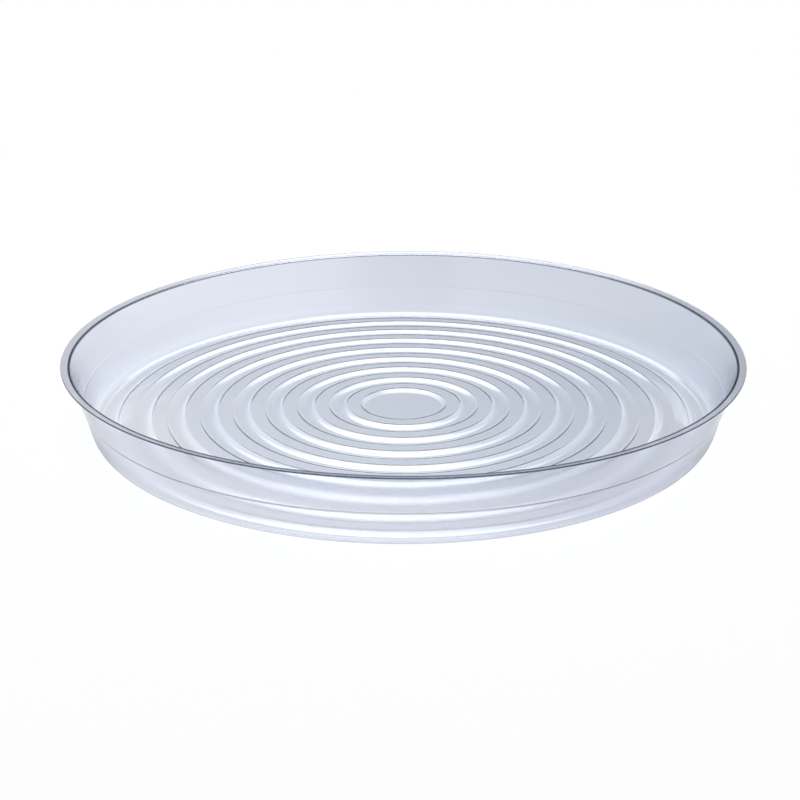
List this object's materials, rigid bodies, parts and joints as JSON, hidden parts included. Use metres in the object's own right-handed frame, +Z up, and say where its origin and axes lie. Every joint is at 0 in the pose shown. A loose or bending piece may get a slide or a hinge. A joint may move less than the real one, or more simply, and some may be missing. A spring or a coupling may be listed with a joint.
{
  "type": "plant saucer",
  "caption": "Round shallow clear plastic plant saucer with a leaning wall, a flat lip and concentric raised rings on its floor, which catches water under a flower pot.",
  "frame": {"origin": "on the saucer's upright axis, at the level of the table it stands on", "axes": "+Z up along the saucer's axis, out of its open side; +X and +Y are any two level directions, because the saucer is round"},
  "size_m": [0.4064, 0.4064, 0.0439],
  "materials": {
    "clear_plastic": "clear, faintly blue, glossy thermoformed sheet"
  },
  "bodies": {
    "root": {"saucer": "clear_plastic"}
  },
  "joints": []
}
